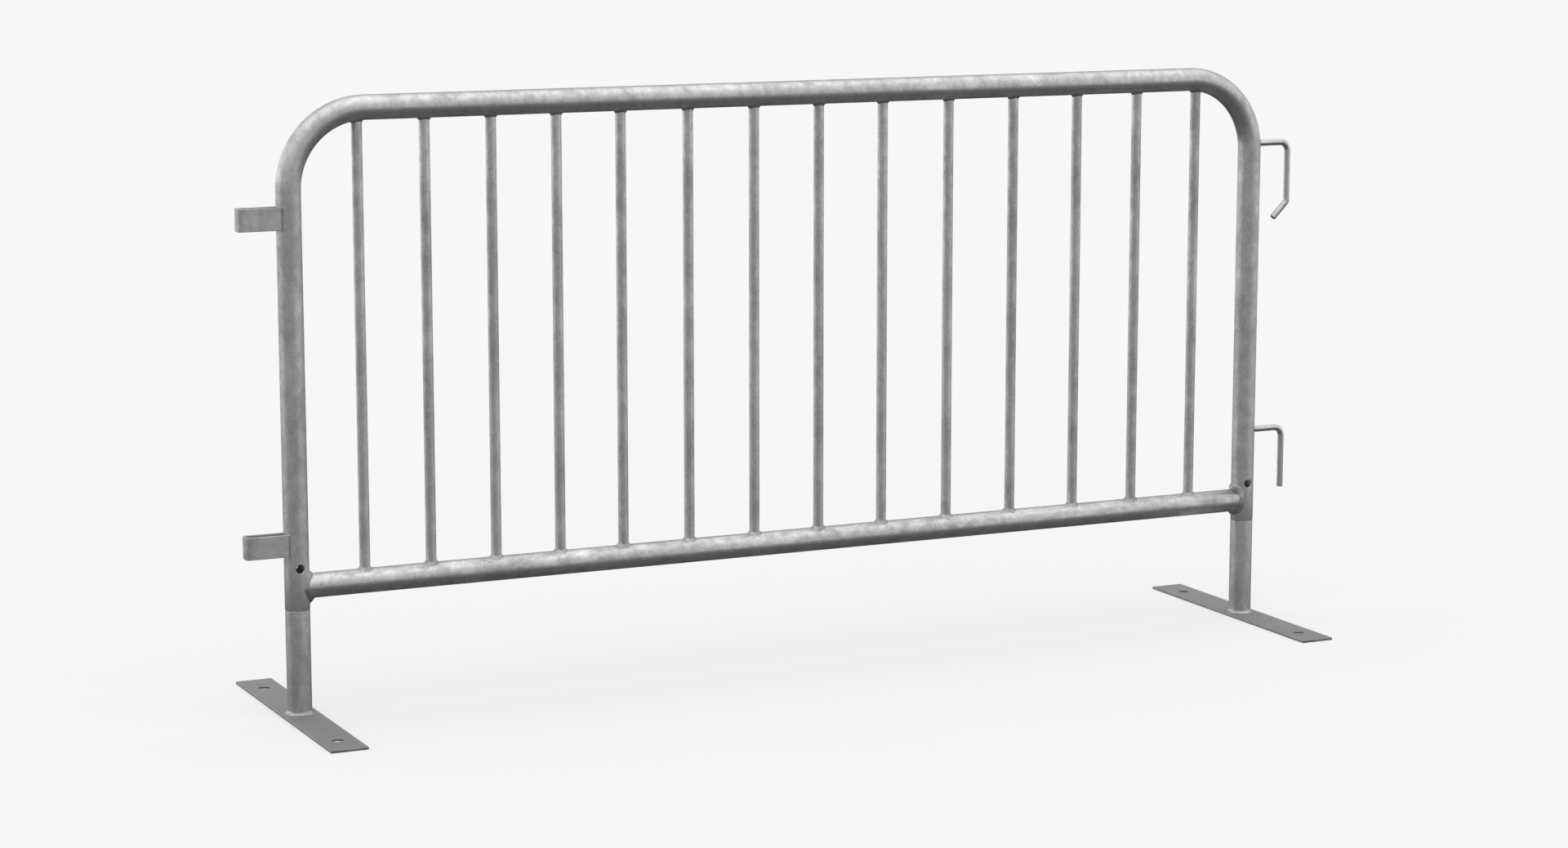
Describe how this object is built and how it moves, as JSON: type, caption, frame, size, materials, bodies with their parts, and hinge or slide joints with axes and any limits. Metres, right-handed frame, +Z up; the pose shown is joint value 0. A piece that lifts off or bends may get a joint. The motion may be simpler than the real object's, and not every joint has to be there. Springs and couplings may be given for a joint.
{
  "type": "crowd control barrier",
  "caption": "Welded tubular steel barrier panel with upright bars, coupling hooks at one end, strap loops at the other, and two removable flat feet.",
  "frame": {"origin": "on the ground, midway between the two uprights and in the middle of the panel's thickness", "axes": "+X along the panel from the strap loops to the hooks, +Y across the panel along the feet, +Z up"},
  "size_m": [2.16, 0.56, 1.1],
  "materials": {
    "galvanised_tube": "hot-dip galvanised, dull, lightly mottled",
    "galvanised_bar": "hot-dip galvanised, dull, lightly mottled",
    "galvanised_rod": "hot-dip galvanised, dull",
    "galvanised_flat": "hot-dip galvanised, dull, lightly mottled",
    "weld_metal": "galvanised weld bead, brighter and lumpier than the tubes"
  },
  "bodies": {
    "frame": {"handrail": "galvanised_tube", "left_upright": "galvanised_tube", "right_upright": "galvanised_tube", "bottom_rail": "galvanised_tube", "bar_01": "galvanised_bar", "bar_02": "galvanised_bar", "bar_03": "galvanised_bar", "bar_04": "galvanised_bar", "bar_05": "galvanised_bar", "bar_06": "galvanised_bar", "bar_07": "galvanised_bar", "bar_08": "galvanised_bar", "bar_09": "galvanised_bar", "bar_10": "galvanised_bar", "bar_11": "galvanised_bar", "bar_12": "galvanised_bar", "bar_13": "galvanised_bar", "bar_14": "galvanised_bar", "bars_01_02_foot_welds": "weld_metal", "bars_01_02_head_welds": "weld_metal", "bars_03_04_foot_welds": "weld_metal", "bars_03_04_head_welds": "weld_metal", "bars_05_06_foot_welds": "weld_metal", "bars_05_06_head_welds": "weld_metal", "bars_07_08_foot_welds": "weld_metal", "bars_07_08_head_welds": "weld_metal", "bars_09_10_foot_welds": "weld_metal", "bars_09_10_head_welds": "weld_metal", "bars_11_12_foot_welds": "weld_metal", "bars_11_12_head_welds": "weld_metal", "bars_13_14_foot_welds": "weld_metal", "bars_13_14_head_welds": "weld_metal", "left_rail_weld": "weld_metal", "right_rail_weld": "weld_metal", "upper_hook": "galvanised_rod", "upper_hook_weld": "weld_metal", "lower_hook": "galvanised_rod", "lower_hook_weld": "weld_metal", "upper_loop": "galvanised_flat", "upper_loop_welds": "weld_metal", "lower_loop": "galvanised_flat", "lower_loop_welds": "weld_metal"},
    "left_spigot": {"left_spigot": "galvanised_tube"},
    "left_foot": {"left_foot_plate": "galvanised_flat", "left_leg": "galvanised_tube", "left_foot_weld": "weld_metal"},
    "right_spigot": {"right_spigot": "galvanised_tube"},
    "right_foot": {"right_foot_plate": "galvanised_flat", "right_leg": "galvanised_tube", "right_foot_weld": "weld_metal"}
  },
  "joints": [
    {"name": "left_foot_drop", "type": "slide", "parent": "frame", "child": "left_spigot", "axis": [0, 0, -1], "range_m": [0, 0.115]},
    {"name": "left_foot_swivel", "type": "hinge", "parent": "left_spigot", "child": "left_foot", "pos_m": [-0.985, 0, 0.1], "axis": [0, 0, 1], "continuous": true},
    {"name": "right_foot_drop", "type": "slide", "parent": "frame", "child": "right_spigot", "axis": [0, 0, -1], "range_m": [0, 0.115]},
    {"name": "right_foot_swivel", "type": "hinge", "parent": "right_spigot", "child": "right_foot", "pos_m": [0.985, 0, 0.1], "axis": [0, 0, 1], "continuous": true}
  ]
}
